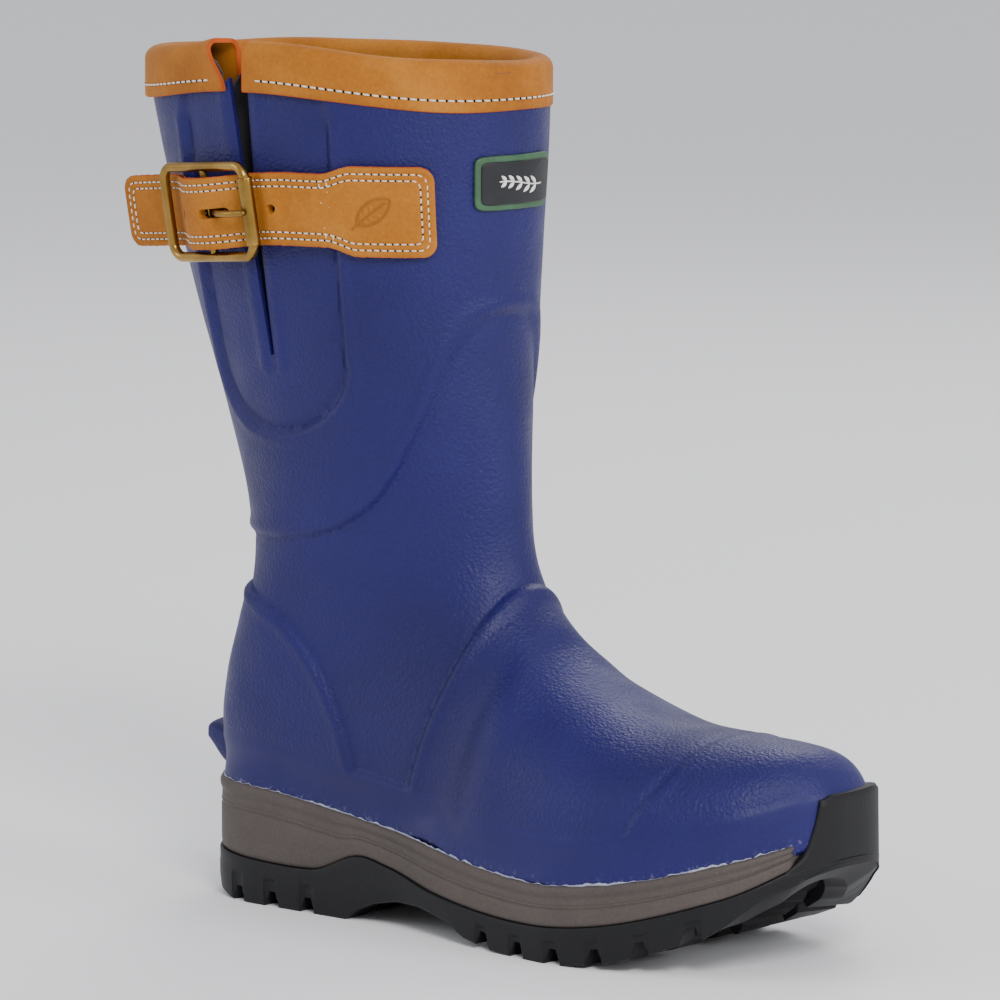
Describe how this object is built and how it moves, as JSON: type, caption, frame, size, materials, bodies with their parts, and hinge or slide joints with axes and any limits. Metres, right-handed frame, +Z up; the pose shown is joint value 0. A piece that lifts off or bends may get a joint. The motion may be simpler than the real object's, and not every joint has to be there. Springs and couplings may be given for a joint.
{
  "type": "wellington boot",
  "caption": "Mid-calf navy rubber boot for the right foot, with a leather collar, a side gusset with a buckled leather strap, and a two-part lugged sole.",
  "frame": {"origin": "middle of the boot's box, on the ground under the sole", "axes": "+X towards the toe, +Y towards the inner side of the foot, +Z up"},
  "size_m": [0.3002, 0.1204, 0.3093],
  "materials": {
    "navy_rubber": "satin, fine pebble grain",
    "taupe_rubber": "matte",
    "black_rubber": "matte",
    "tan_leather": "waxed nubuck",
    "lining_textile": "knitted",
    "gusset_fabric": "coated, matte",
    "fibre_board": "matte",
    "footbed_foam": "fabric-topped foam",
    "shank_steel": "plain",
    "antique_brass": "antique, dark in the recesses",
    "label_border": "satin",
    "label_inset": "satin"
  },
  "bodies": {
    "boot": {"shell": "navy_rubber", "leg_panel": "navy_rubber", "vamp_panel": "navy_rubber", "toe_cap": "navy_rubber", "heel_counter": "navy_rubber", "foxing_band": "navy_rubber", "kick_spur": "navy_rubber", "lining": "lining_textile", "gusset": "gusset_fabric", "collar": "tan_leather", "insole_board": "fibre_board", "footbed": "footbed_foam", "shank": "shank_steel", "midsole": "taupe_rubber", "outsole": "black_rubber", "strap_backing": "tan_leather", "strap_facing": "tan_leather", "label_backing": "label_border", "label_face": "label_inset", "buckle_chape": "tan_leather"},
    "buckle": {"buckle_frame": "antique_brass"},
    "prong": {"buckle_prong": "antique_brass"},
    "roller": {"buckle_roller": "antique_brass"}
  },
  "joints": [
    {"name": "buckle_tilt", "type": "hinge", "parent": "boot", "child": "buckle", "pos_m": [-0.08606, -0.04967, 0.24888], "axis": [0.0972, 0.0959, -0.9906], "range_deg": [-2.5, 2.5]},
    {"name": "prong_swing", "type": "hinge", "parent": "buckle", "child": "prong", "pos_m": [-0.08606, -0.04967, 0.24888], "axis": [0.0972, 0.0959, -0.9906], "range_deg": [0, 15]},
    {"name": "roller_spin", "type": "hinge", "parent": "buckle", "child": "roller", "pos_m": [-0.06306, -0.05416, 0.2507], "axis": [-0.0972, -0.0959, 0.9906], "continuous": true}
  ]
}
